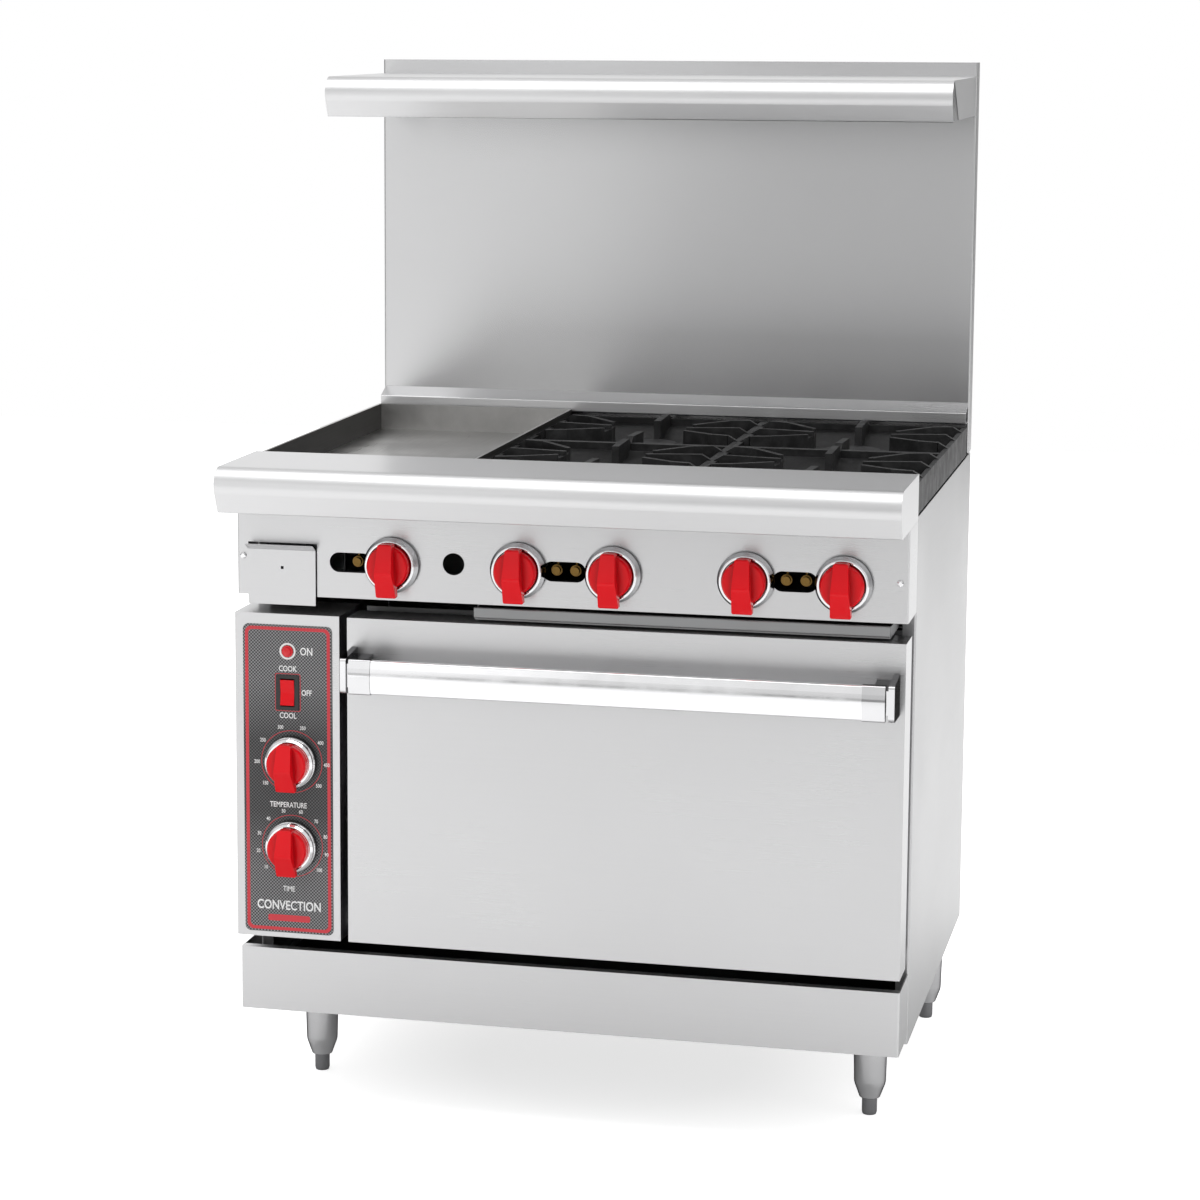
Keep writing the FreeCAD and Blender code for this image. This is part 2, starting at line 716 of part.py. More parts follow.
def fan_wheel():
    """Blower wheel with its motor shaft: a back plate, a rim and curved-pitch blades."""
    y_back = cavity_back - 10
    plate = rod(fan_radius, (0, y_back - 2, 0), (0, y_back, 0))
    hub = rod(16, (0, y_back - 26, 0), (0, y_back, 0))
    ring = rod(fan_radius, (0, y_back - 36, 0), (0, y_back - 33, 0))
    ring = ring.cut(rod(fan_radius - 22, (0, y_back - 40, 0), (0, y_back - 30, 0)))
    blades = []
    for i in range(18):
        blade = box(fan_radius - 22, fan_radius - 2, y_back - 35, y_back - 1, -1, 1)
        blade.rotate(V(fan_radius - 12, 0, 0), V(0, 1, 0), 32)
        blade.rotate(V(0, 0, 0), V(0, 1, 0), i * 20)
        blades.append(blade)
    shaft = rod(shaft_radius, (0, y_back - 10, 0), (0, cavity_back + 34, 0))
    wheel = join([plate, hub, ring, shaft] + blades)
    wheel.translate(V(fan_x, 0, fan_z))
    return wheel


def fan_motor():
    """Flat motor behind the cavity, with its mounting lugs and shaft bore."""
    front = cavity_back + sheet
    lugs, arms = [], []
    for z in (fan_z - 48, fan_z + 48):
        arms.append(box(fan_x - 52, fan_x + 52, front + 16, front + 24, z - 6, z + 6))
        for x in (fan_x - 48, fan_x + 48):
            lugs.append(rod(5, (x, front, z), (x, front + 22, z)))
    body = rod(62, (fan_x, front + 14, fan_z), (fan_x, front + 76, fan_z))
    bore = rod(shaft_radius + running_gap, (fan_x, front, fan_z), (fan_x, front + 40, fan_z))
    return join([body] + lugs + arms).cut(bore)


def fan_cover():
    """Baffle in front of the fan wheel, with an inlet grille and gaps at both sides."""
    back, low, high = baffle_y + sheet, cavity_floor + 1, cavity_ceiling - 1
    plate = box(cavity_left + 30, cavity_right - 30, baffle_y, back, low, high)
    holes = []
    for ring, count in ((16, 6), (32, 12), (48, 18), (64, 24)):
        for i in range(count):
            angle = 2 * math.pi * i / count
            x, z = fan_x + ring * math.cos(angle), fan_z + ring * math.sin(angle)
            holes.append(rod(5, (x, baffle_y - 5, z), (x, baffle_y + 5, z)))
    studs = [
        rod(4, (x, baffle_y + sheet, z), (x, cavity_back, z))
        for x in (cavity_left + 50, cavity_right - 50)
        for z in (cavity_floor + 40, cavity_ceiling - 40)
    ]
    return join([plate.cut(Part.makeCompound(holes))] + studs)


# ---------------------------------------------------------------- door
def hinge_ways():
    """Slots in the door's lower rear edge that clear the fixed hinge brackets."""
    return Part.makeCompound([
        box(x - 13, x + 13, hinge_way_front, door_back + 5, door_bottom - 5, hinge_z + 20)
        for x in hinge_xs
    ])


def door_shell():
    """Outer pan of the door with a turned-in rear edge."""
    shell = box(door_left, door_right, door_face, door_shell_back, door_bottom, door_top)
    inside = box(
        door_left + sheet, door_right - sheet, door_face + sheet,
        door_shell_back - sheet, door_bottom + sheet, door_top - sheet,
    )
    mouth = box(
        door_left + 16, door_right - 16, door_face + 20, door_shell_back + 5,
        door_bottom + 16, door_top - 16,
    )
    return shell.cut(inside).cut(mouth).cut(hinge_ways())


def door_liner():
    """Inner pan of the door that faces the oven; its lower edge stays inside the hinge's swing."""
    left, right, bottom = door_left + 9, door_right - 9, hinge_z + 2
    liner = pan(left, right, door_shell_back, door_back, bottom, door_top - 9, sheet, "y0")
    return liner.cut(hinge_ways())


def door_gasket():
    """Heat seal round the oven's mouth."""
    back, front = frame_front, door_back + 0.6
    outer = box(cavity_left - 18, cavity_right + 18, front, back, cavity_floor - 8, cavity_ceiling + 22)
    inner = box(cavity_left - 8, cavity_right + 8, front, back, cavity_floor + 2, cavity_ceiling + 12)
    return outer.cut(inner)


def door_hinge_leaves():
    """Forked leaf with its pin inside each lower corner of the door."""
    leaves = []
    for x in hinge_xs:
        floor, front = door_bottom + sheet, hinge_way_front
        pieces = [
            box(x - 11.5, x + 11.5, front, front + 3, floor, hinge_z + 19),
            box(x - 20, x + 20, front - 16, front, floor, floor + 3),
        ]
        for side in (-1, 1):
            x0, x1 = sorted((x + side * 8.5, x + side * 11.5))
            pieces.append(box(x0, x1, front, hinge_y + 9, hinge_z - 12, hinge_z + 19))
        pieces.append(rod(hinge_pin_radius, (x - 12.5, hinge_y, hinge_z), (x + 12.5, hinge_y, hinge_z)))
        leaves.append(join(pieces))
    return Part.makeCompound(leaves)


def hinge_brackets():
    """Fixed hinge arm on the oven's face plate, one for each leaf."""
    brackets = []
    for x in hinge_xs:
        arm = join([
            box(x - 6, x + 6, hinge_y, frame_front - 3, hinge_z - 8, hinge_z + 8),
            rod(8, (x - 6, hinge_y, hinge_z), (x + 6, hinge_y, hinge_z)),
            box(x - 12, x + 12, frame_front - 3, frame_front, hinge_z - 26, hinge_z + 9),
        ])
        ends = (x - 10, hinge_y, hinge_z), (x + 10, hinge_y, hinge_z)
        bore = rod(hinge_pin_radius + running_gap, *ends)
        brackets.append(arm.cut(bore))
    return Part.makeCompound(brackets)


handle_bottom, handle_height = 609.0, 46.0
handle_left, handle_right = -279.0, 438.0
handle_cap = 30.0
handle_front = door_face - 62.0


def handle_section(grow):
    """Corners of the bowed handle section, in the plane across the bar."""
    low, high = handle_bottom - grow, handle_bottom + handle_height + grow
    front, back = handle_front - grow, handle_front + 13
    middle = (low + high) / 2
    return [(back, low), (front + 5, low), (front, middle), (front + 5, high), (back, high)]


def handle_bar():
    """Flat polished bar across the door."""
    left, right = handle_left + handle_cap, handle_right - handle_cap
    bar = extruded(handle_section(0), [1, 3, 60, 3, 1], "yz", left, right)
    low, high = handle_bottom + 6, handle_bottom + handle_height - 6
    hollow = box(left - 1, right + 1, handle_front + 7, handle_front + 20, low, high)
    return bar.cut(hollow)


def handle_bracket():
    """Cast end of the handle: a cap over the bar and an arm back to the door, right-hand one."""
    end = handle_right
    cap = extruded(handle_section(1), [1, 3, 60, 3, 1], "yz", end - handle_cap, end)
    side = [
        (handle_front + 4, handle_bottom - 1), (handle_front + 4, handle_bottom + handle_height + 1),
        (door_face, handle_bottom + handle_height + 7), (door_face, handle_bottom - 3),
    ]
    arm = extruded(side, [8, 4, 0, 0], "yz", end + 4, end + 12)
    bridge = extruded(
        [(handle_front + 8, handle_bottom + 8), (handle_front + 8, handle_bottom + handle_height - 6),
         (door_face, handle_bottom + handle_height - 2), (door_face, handle_bottom + 5)],
        0, "yz", end - 18, end + 5,
    )
    return join([cap, arm, bridge])


def handle_brackets():
    """Right-hand bracket and its mirror image at the left end of the bar."""
    right = handle_bracket()
    middle = (handle_left + handle_right) / 2
    return Part.makeCompound([right, right.mirror(V(middle, 0, 0), V(1, 0, 0))])


# ---------------------------------------------------------------- control box
def convection_box():
    """Sheet box beside the door that holds the oven controls."""
    case = pan(box_left, box_right, door_face, side_front - 1, door_bottom, 702, sheet, "y1")
    return case.cut(control_cutouts())


def control_cutouts():
    """Holes through the control face for the lamp, the switch and the two stems."""
    deep = (door_face - 5, door_face + 5)
    tools = [rod(6, (control_x, deep[0], lamp_z), (control_x, deep[1], lamp_z))]
    tools.append(box(control_x - 13, control_x + 13, *deep, rocker_z - 21.5, rocker_z + 21.5))
    for z in (temperature_z, timer_z):
        tools.append(rod(5, (dial_x, deep[0], z), (dial_x, deep[1], z)))
    return Part.makeCompound(tools)


def control_fascia():
    """Thin printed plate on the control box."""
    x0, x1, z0, z1 = -445.5, -319.0, 257.0, 687.0
    plate = extruded([(x0, z0), (x1, z0), (x1, z1), (x0, z1)], 8, "xz", door_face - 0.8, door_face)
    return plate.cut(control_cutouts())


def indicator_lamp():
    """Small round pilot light with a domed lens."""
    lamp = turned([(0, -18), (5.5, -18), (5.5, 0.9), (8, 0.9), (8, 2.4), (6.3, 3), (5, 5), (0, 6)], 0.3)
    return facing_front(lamp, control_x, door_face, lamp_z)


def rocker_frame():
    """Switch body with a raised bezel round the rocker."""
    front = door_face - 0.9
    rim = box(control_x - 16, control_x + 16, front - 2.6, front, rocker_z - 24, rocker_z + 24)
    body = box(control_x - 12.6, control_x + 12.6, front, front + 26, rocker_z - 21, rocker_z + 21)
    low, high = rocker_z - 19.4, rocker_z + 19.4
    well = box(control_x - 10.2, control_x + 10.2, front - 5, front + 14, low, high)
    return join([rim, body]).cut(well)


def fan_rocker():
    """Rocker of the fan switch, pivoted at mid height."""
    y = door_face + 2
    side = [
        (y - 7, rocker_z + 17.8), (y - 5, rocker_z), (y - 7, rocker_z - 17.8),
        (y + 2, rocker_z - 17), (y + 6, rocker_z - 9), (y + 6, rocker_z + 9), (y + 2, rocker_z + 17),
    ]
    return extruded(side, [0.8, 0, 0.8, 0, 0, 0, 0], "yz", control_x - 9.7, control_x + 9.7)


def oven_controls():
    """Thermostat and timer bodies behind the control face."""
    bodies = []
    for z, size in ((temperature_z, 24.0), (timer_z, 28.0)):
        front = door_face + sheet
        body = join([
            rod(4.6, (dial_x, front - 1, z), (dial_x, front + 6, z)),
            box(dial_x - size, dial_x + size, front + 5, front + 45, z - size, z + size),
        ])
        bore = rod(stem_radius + running_gap, (dial_x, front - 2, z), (dial_x, front + 24, z))
        bodies.append(body.cut(bore))
    return Part.makeCompound(bodies)


# ---------------------------------------------------------------- back guard
def riser_panel():
    """Tall splash panel with turned-back sides and top."""
    path = [(-half, back_y), (-half, riser_face), (half, riser_face), (half, back_y)]
    skin = folded_sheet(path, sheet, (3, 3), "xy", side_top + 2, riser_top)
    top = box(-half + 1, half - 1, riser_face + 1, back_y, riser_top - sheet, riser_top)
    hem = box(-half + 1, half - 1, back_y - sheet, back_y, riser_top - 20, riser_top - 1)
    foot = box(-half + 1, half - 1, riser_face + 1, riser_face + 12, side_top + 2, side_top + 3.5)
    return join([skin, top, hem, foot])


def rear_ledge():
    """Stepped strip that covers the joint between the cooktop and the splash panel."""
    face = riser_face - 30
    path = [(riser_face - 0.8, 931), (face, 919), (face, 902), (riser_face - 0.8, 902)]
    return folded_sheet(path, sheet, (2, 2), "yz", -half + 2.5, half - 2.5)


def high_shelf():
    """Shelf on the splash panel, with a round nose and a front apron."""
    corner, lip = nosed_front(shelf_front, shelf_top, shelf_lip)
    path = [(riser_face - 0.1, shelf_top), corner, lip, (lip[0] + 22, shelf_lip)]
    return folded_sheet(path, sheet, (nose_radius, 2), "yz", -half + 2, half - 2)


def shelf_brackets():
    """End gussets that carry the shelf."""
    under = shelf_top - sheet
    outline = [
        (shelf_front + 24, under), (shelf_front + 86, shelf_lip + 1),
        (riser_face - 0.1, shelf_lip + 1), (riser_face - 0.1, under),
    ]
    plate = extruded(outline, [0, 6, 0, 0], "yz", half - 3.5, half - 2)
    tab = box(half - 24, half - 2, riser_face - 1.6, riser_face - 0.1, shelf_lip + 1, under)
    return both_sides(join([plate, tab]))


# ---------------------------------------------------------------- legs and fasteners
def leg():
    """Polished tube leg that tapers to the foot's bore."""
    profile = [
        (foot_stem_radius, leg_bottom), (14, leg_bottom), (leg_radius - 2.5, 46),
        (leg_radius, leg_top - 3), (32, leg_top - 3), (32, leg_top), (foot_stem_radius, leg_top),
    ]
    return turned(profile, [0, 3, 20, 0, 0, 0, 0])


def foot():
    """Adjustable bullet foot with its threaded stem."""
    radius = foot_stem_radius - running_gap
    top = leg_bottom - 0.3
    profile = [
        (0, 0), (foot_radius - 1, 0), (foot_radius, 4), (foot_radius, top),
        (radius, top), (radius, 80), (0, 80),
    ]
    return turned(profile, [0, 1, 1, 0.8, 0, 1, 0])


def at_legs(shape):
    """The same shape at each of the four legs."""
    pieces = []
    for x, y in leg_spots:
        piece = shape.copy()
        piece.translate(V(x, y, 0))
        pieces.append(piece)
    return Part.makeCompound(pieces)


def screws():
    """Round-head screws in the control panel, the kick plate and the back panel."""
    head = turned([(0, 0), (4.5, 0), (4.2, 1.6), (2.4, 2.8), (0, 2.8)], 0.4)
    pieces = [facing_front(head, x, panel_face, 778) for x in (-448.5, 446)]
    for x in (-440, 440):
        for z in (200, 500, 800):
            rear = facing_front(head, 0, 0, 0)
            rear.rotate(V(0, 0, 0), V(0, 0, 1), 180)
            rear.translate(V(x * 0.99, 415 + sheet, z))
            pieces.append(rear)
    return Part.makeCompound(pieces)


# ---------------------------------------------------------------- output
os.makedirs("parts", exist_ok=True)

right_side = side_panel()
save("side_panel_right", right_side)
save("side_panel_left", right_side.mirror(V(0, 0, 0), V(1, 0, 0)))

for part in (
    base_frame, back_panel, kick_plate, front_ledge, control_panel, burner_box,
    griddle, griddle_burner, grease_drawer, crumb_tray, burner_heads, burner_venturis,
    gas_manifold, gas_valves, pilots, knob_bezels,
    oven_sides, oven_floor, oven_back, oven_front_frame, rack_guides, oven_rack, oven_burner,
    fan_wheel, fan_motor, fan_cover,
    door_shell, door_liner, door_gasket, door_hinge_leaves, hinge_brackets, handle_bar, handle_brackets,
    convection_box, control_fascia, indicator_lamp, rocker_frame, fan_rocker, oven_controls,
    riser_panel, rear_ledge, high_shelf, shelf_brackets, screws,
):
    save(part.__name__, part())

save("oven_top", oven_plate(cavity_ceiling))
save("legs", at_legs(leg()))
save("feet", at_legs(foot()))

one_grate = grate()
for column, x in zip(("left", "right"), column_xs):
    for row, y in zip(("front", "rear"), row_ys):
        placed = one_grate.copy()
        placed.translate(V(x, y, 0))
        save("grate_" + row + "_" + column, placed)

knob_names = ("griddle", "rear_left", "front_left", "rear_right", "front_right")
one_knob = gas_knob()
for name, x in zip(knob_names, knob_xs):
    save("knob_" + name, facing_front(one_knob, x, panel_face, knob_height))

for name, z in (("temperature_knob", temperature_z), ("timer_knob", timer_z)):
    save(name, facing_front(dial_knob(), dial_x, door_face - 0.8, z))
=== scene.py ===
"""Looks, printed marks and studio of the commercial gas range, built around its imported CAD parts."""

import math

import bmesh
import bpy
from mathutils import Matrix, Quaternion, Vector


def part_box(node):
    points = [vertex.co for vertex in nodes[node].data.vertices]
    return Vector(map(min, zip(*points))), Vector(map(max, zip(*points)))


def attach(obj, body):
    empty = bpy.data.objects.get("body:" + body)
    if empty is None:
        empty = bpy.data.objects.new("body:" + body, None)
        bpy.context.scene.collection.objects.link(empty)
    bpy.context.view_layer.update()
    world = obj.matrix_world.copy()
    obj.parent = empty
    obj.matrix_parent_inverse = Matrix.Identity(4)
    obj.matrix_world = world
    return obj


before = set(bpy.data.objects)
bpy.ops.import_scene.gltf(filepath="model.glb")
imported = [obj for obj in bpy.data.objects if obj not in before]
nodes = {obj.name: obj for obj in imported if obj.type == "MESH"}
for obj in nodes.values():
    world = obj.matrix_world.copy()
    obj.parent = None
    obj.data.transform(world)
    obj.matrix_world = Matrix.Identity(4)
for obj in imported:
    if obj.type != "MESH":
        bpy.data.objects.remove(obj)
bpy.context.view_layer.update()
MM = 0.001
UP = (0, 0, 1)

# ---------------------------------------------------------------- colours (linear)
STEEL = (0.62, 0.62, 0.625)
# Partly the sheet's own dull tone, partly painted shade: darker so the parts seen in gaps and recesses
# read dark.
DULL_STEEL_AND_SHADE = (0.30, 0.303, 0.306)
CHROME = (0.86, 0.86, 0.87)
IRON = (0.014, 0.014, 0.0143)
RED = (0.74, 0.002, 0.008)
PRINT_RED = (0.6, 0.03, 0.045)
PRINT_WHITE = (0.85, 0.85, 0.85)
PLATE_GREY = (0.034, 0.034, 0.035)


# ---------------------------------------------------------------- material helpers
class Surface:
    """A material being built: its shader and short ways to add texture nodes to it."""

    def __init__(self, name, colour, metallic, roughness):
        self.material = bpy.data.materials.new(name)
        self.material.use_nodes = True
        self.tree = self.material.node_tree
        self.shader = self.tree.nodes["Principled BSDF"]
        self.shader.inputs["Base Color"].default_value = (*colour, 1)
        self.shader.inputs["Metallic"].default_value = metallic
        self.shader.inputs["Roughness"].default_value = roughness
        self.colour = colour
        self.roughness = roughness

    def set(self, **values):
        for name, value in values.items():
            self.shader.inputs[name.replace("_", " ")].default_value = value

    def node(self, kind, inputs=None, **settings):
        made = self.tree.nodes.new(kind)
        for name, value in settings.items():
            setattr(made, name, value)
        for name, value in (inputs or {}).items():
            if isinstance(value, bpy.types.NodeSocket):
                self.tree.links.new(value, made.inputs[name])
            else:
                made.inputs[name].default_value = value
        return made

    def place(self, scale=(1, 1, 1), turn=(0, 0, 0)):
        """Row coordinates in metres, scaled per axis."""
        where = self.node("ShaderNodeTexCoord").outputs["Object"]
        mapped = self.node("ShaderNodeMapping", {"Vector": where, "Scale": scale, "Rotation": turn})
        return mapped.outputs["Vector"]

    def noise(self, place, scale, detail=3.0, roughness=0.5):
        inputs = {"Vector": place, "Scale": scale, "Detail": detail, "Roughness": roughness}
        return self.node("ShaderNodeTexNoise", inputs).outputs["Fac"]

    def spread(self, value, low, high, from_low=0.3, from_high=0.7):
        """The value's usual range stretched to another one."""
        inputs = {
            "Value": value, "From Min": from_low, "From Max": from_high, "To Min": low, "To Max": high,
        }
        return self.node("ShaderNodeMapRange", inputs, clamp=True).outputs["Result"]

    def math(self, operation, a, b=0.0):
        made = self.node("ShaderNodeMath", {0: a, 1: b}, operation=operation)
        return made.outputs["Value"]

    def halves(self, a, b):
        """Mean of two patterns."""
        return self.math("ADD", self.math("MULTIPLY", a, 0.5), self.math("MULTIPLY", b, 0.5))

    def between(self, factor, first, second):
        """Colour mixed from one to the other by the factor."""
        made = self.node("ShaderNodeMix", data_type="RGBA")
        self.tree.links.new(factor, made.inputs["Factor"])
        for name, colour in (("A", first), ("B", second)):
            socket = [s for s in made.inputs if s.name == name and s.type == "RGBA"][0]
            if isinstance(colour, bpy.types.NodeSocket):
                self.tree.links.new(colour, socket)
            else:
                socket.default_value = (*colour, 1)
        return [s for s in made.outputs if s.type == "RGBA"][0]

    def into(self, name, socket):
        self.tree.links.new(socket, self.shader.inputs[name])

    def bump(self, height, depth, strength=1.0):
        inputs = {"Height": height, "Distance": depth, "Strength": strength}
        self.into("Normal", self.node("ShaderNodeBump", inputs).outputs["Normal"])

    def shades(self, factor, dark, light):
        """Base colour that varies between two multiples of the surface's colour."""
        first = tuple(c * dark for c in self.colour)
        second = tuple(min(c * light, 1.0) for c in self.colour)
        self.into("Base Color", self.between(factor, first, second))


def brushed(name, grain, colour=STEEL, roughness=0.3, streak=0.05, aniso=0.6, grain_depth=0.006 * MM):
    """Sheet with a fine grain along one axis, faint cloudiness and slightly uneven gloss."""
    surface = Surface(name, colour, 1.0, roughness)
    surface.set(Anisotropic=aniso)
    long, fine = 6, 1400
    scale = [long if axis == grain else fine for axis in "XYZ"]
    across = {axis: float(axis != grain) for axis in "XYZ"}
    tangent = surface.node("ShaderNodeCombineXYZ", across)
    surface.into("Tangent", tangent.outputs["Vector"])
    lines = surface.noise(surface.place(scale), 1.0, 3.0, 0.7)
    clouds = surface.noise(surface.place(), 3.5, 4.0, 0.55)
    mixed = surface.halves(lines, clouds)
    surface.into("Roughness", surface.spread(mixed, roughness - streak, roughness + streak))
    surface.shades(surface.spread(mixed, 0.0, 1.0), 0.975, 1.02)
    if grain_depth:
        surface.bump(lines, grain_depth, 0.2)
    return surface.material


def polished(name, colour=CHROME, roughness=0.07, edge=1.0):
    """Plated or polished metal with light wipe marks. A low edge paints shade at a glancing angle: its
    flanks and rims turn dark.
    """
    surface = Surface(name, colour, 1.0, roughness)
    # A specular tint below 1 is painted shade: it darkens the reflection towards the flanks and rims.
    surface.set(Specular_Tint=(edge, edge, edge, 1))
    smear = surface.noise(surface.place(), 18.0, 5.0, 0.6)
    fine = surface.noise(surface.place(), 420.0, 2.0, 0.5)
    surface.into("Roughness", surface.spread(smear, roughness * 0.6, roughness * 1.7))
    surface.shades(surface.spread(smear, 0.0, 1.0), 0.97, 1.03)
    surface.bump(fine, 0.004 * MM, 0.2)
    return surface.material


def cast(name, colour, roughness):
    """Sand-cast iron: pitted skin, lighter in random patches of wear, with a painted highlight along its
    sharp edges.
    """
    surface = Surface(name, colour, 0.35, roughness)
    coarse = surface.noise(surface.place(), 38.0, 4.0, 0.6)
    grain = 420.0
    fine = surface.noise(surface.place(), grain, 5.0, 0.65)
    pits = surface.node("ShaderNodeTexVoronoi", {"Vector": surface.place(), "Scale": grain * 0.8})
    height = surface.math("ADD", fine, surface.math("MULTIPLY", pits.outputs["Distance"], 0.5))
    # Painted highlight: convex edges, found by pointiness, are made much lighter.
    edge = surface.node("ShaderNodeNewGeometry").outputs["Pointiness"]
    edge_highlight = surface.spread(edge, 0.0, 1.0, 0.5, 0.58)
    patches_and_highlight = surface.math("MAXIMUM", surface.spread(coarse, 0.0, 0.6, 0.45, 0.75), edge_highlight)
    surface.shades(patches_and_highlight, 0.8, 4.0)
    surface.into("Roughness", surface.spread(coarse, roughness - 0.08, roughness + 0.1))
    surface.bump(height, 0.35 * MM, 0.6)
    return surface.material


def moulded(name, colour, roughness, coat=0.0, specular=0.5, crease_shade=0.0):
    """Moulded plastic with a faint texture and uneven gloss. A shade amount above 0 paints shade into
    its nooks and creases: darker where ambient occlusion finds near surfaces.
    """
    surface = Surface(name, colour, 0.0, roughness)
    surface.set(Coat_Weight=coat, Coat_Roughness=0.06, Specular_IOR_Level=specular)
    fine = surface.noise(surface.place(), 900.0, 3.0, 0.5)
    broad = surface.noise(surface.place(), 30.0, 3.0, 0.5)
    surface.into("Roughness", surface.spread(broad, roughness * 0.8, roughness * 1.25))
    if crease_shade:
        # Painted shade: darker colour where ambient occlusion finds nooks and creases.
        nook_shade = surface.node("ShaderNodeAmbientOcclusion", {"Distance": 14 * MM}, samples=8).outputs["AO"]
        surface.shades(surface.spread(nook_shade, 0.0, 1.0, 0.35, 0.95), 1 - crease_shade, 1.0)
    else:
        surface.shades(surface.spread(broad, 0.0, 1.0), 0.92, 1.06)
    surface.bump(fine, 0.01 * MM, 0.3)
    return surface.material


def enamelled(name, colour):
    """Porcelain enamel with light specks."""
    surface = Surface(name, colour, 0.0, 0.22)
    specks = surface.noise(surface.place(), 700.0, 1.0, 0.4)
    waves = surface.noise(surface.place(), 25.0, 3.0, 0.5)
    surface.shades(surface.spread(specks, 0.0, 1.0, 0.66, 0.72), 1.0, 6.0)
    surface.into("Roughness", surface.spread(waves, 0.16, 0.3))
    surface.bump(waves, 0.2 * MM, 0.15)
    return surface.material


def griddle_plate(name):
    """Ground steel plate with swirling tool marks and a seasoned tint."""
    surface = Surface(name, (0.50, 0.495, 0.485), 1.0, 0.34)
    surface.set(Anisotropic=0.4)
    lines = surface.noise(surface.place((500, 6, 500)), 1.0, 4.0, 0.6)
    stains = surface.noise(surface.place(), 9.0, 5.0, 0.6)
    surface.shades(surface.spread(stains, 0.0, 1.0), 0.72, 1.12)
    mixed = surface.halves(lines, stains)
    surface.into("Roughness", surface.spread(mixed, 0.24, 0.46))
    surface.bump(lines, 0.04 * MM, 0.4)
    return surface.material


def woven(name, colour):
    """Braided heat seal."""
    surface = Surface(name, colour, 0.0, 0.9)
    slanted = surface.place(turn=(0, 0.6, 0.8))
    braid = surface.node("ShaderNodeTexWave", {"Vector": slanted, "Scale": 160.0}).outputs["Fac"]
    surface.shades(braid, 0.6, 1.25)
    surface.bump(braid, 0.6 * MM, 0.7)
    return surface.material


def printed_plate(name, middle_low, middle_high):
    """Dark plate printed with a fine diagonal weave that fades between two heights."""
    surface = Surface(name, PLATE_GREY, 0.0, 0.38)
    surface.set(Coat_Weight=0.1, Coat_Roughness=0.12, Specular_IOR_Level=0.3)
    where = surface.node("ShaderNodeTexCoord").outputs["Object"]
    split = surface.node("ShaderNodeSeparateXYZ", {"Vector": where})
    x, z = split.outputs["X"], split.outputs["Z"]
    waves_per_metre = 2 * math.pi / (4.6 * MM)
    one = surface.math("SINE", surface.math("MULTIPLY", x, waves_per_metre))
    two = surface.math("SINE", surface.math("MULTIPLY", z, waves_per_metre))
    weave = surface.spread(surface.math("MULTIPLY", one, two), 0.0, 1.0, -0.35, 0.55)
    outward, inward = 50 * MM, 30 * MM
    below = surface.spread(z, 1.0, 0.0, middle_low - outward, middle_low + inward)
    above = surface.spread(z, 0.0, 1.0, middle_high - inward, middle_high + outward)
    amount = surface.math("MAXIMUM", below, above)
    amount = surface.spread(amount, 0.3, 1.0, 0.0, 1.0)
    surface.shades(surface.math("MULTIPLY", weave, amount), 0.6, 9.0)
    surface.bump(weave, 0.03 * MM, 0.2)
    return surface.material


# ---------------------------------------------------------------- materials of the CAD nodes
panel_steel = brushed("brushed_steel_wide", "X")
riser_steel = brushed("brushed_steel_splash", "X", (0.60, 0.60, 0.605), 0.24, 0.02, 0.7, grain_depth=0.0)
side_steel = brushed("brushed_steel_side", "Y", (0.53, 0.53, 0.535), 0.34)
rail_steel = brushed("brushed_steel_rail", "X", (0.68, 0.68, 0.685), 0.33, 0.04)
# Painted shade in part: this dull sheet is made darker for the gaps around the door where it shows.
dull_steel_and_shade = brushed("galvanised_sheet_and_shade", "X", DULL_STEEL_AND_SHADE, 0.45, 0.08, 0.2)
tube_steel = brushed("mill_steel", "X", (0.3, 0.3, 0.31), 0.42, 0.08, 0.0)
griddle_steel = griddle_plate("griddle_plate")
dark_side_faces = brushed("dark_side_faces", "Y", (0.09, 0.088, 0.085), 0.42, 0.08, 0.2)
chrome = polished("chrome_plate")
# Edge 0.0: painted shade darkens the rims of the bezels and screws.
rim_chrome = polished("rim_chrome", (0.8, 0.8, 0.81), 0.06, 0.0)
handle_chrome = polished("polished_handle", (0.9, 0.9, 0.91), 0.16)
# Edge 0.0: painted shade darkens the flanks of the legs.
leg_chrome = polished("polished_leg", (0.72, 0.72, 0.73), 0.08, 0.0)
grate_iron = cast("cast_iron_grate", IRON, 0.5)
burner_iron = cast("cast_iron_burner", (0.03, 0.03, 0.031), 0.6)
# Edge 0.0: painted shade darkens the brass at its flanks.
brass = polished("machined_brass", (0.2, 0.12, 0.035), 0.32, 0.0)
# Its shade setting paints shade into the knobs' nooks and creases.
red_gloss = moulded("glossy_red", RED, 0.2, coat=0.05, specular=0.2, crease_shade=0.5)
red_lens = moulded("red_lens", (0.7, 0.01, 0.02), 0.1, coat=0.4, specular=0.3)
black_skirt = moulded("black_moulded", (0.012, 0.012, 0.013), 0.3, coat=0.3)
black_case = moulded("black_case", (0.02, 0.02, 0.02), 0.5)
motor_paint = moulded("motor_paint", (0.03, 0.03, 0.035), 0.4)
enamel = enamelled("oven_enamel", (0.02, 0.024, 0.04))
seal = woven("woven_seal", (0.25, 0.24, 0.22))
pan_skin = brushed("pan_skin", "X", (0.05, 0.05, 0.052), 0.6, 0.1, 0.0)

fascia_low, fascia_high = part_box("control_fascia")
plate_print = printed_plate("printed_plate", fascia_low.z + 140 * MM, fascia_high.z - 130 * MM)

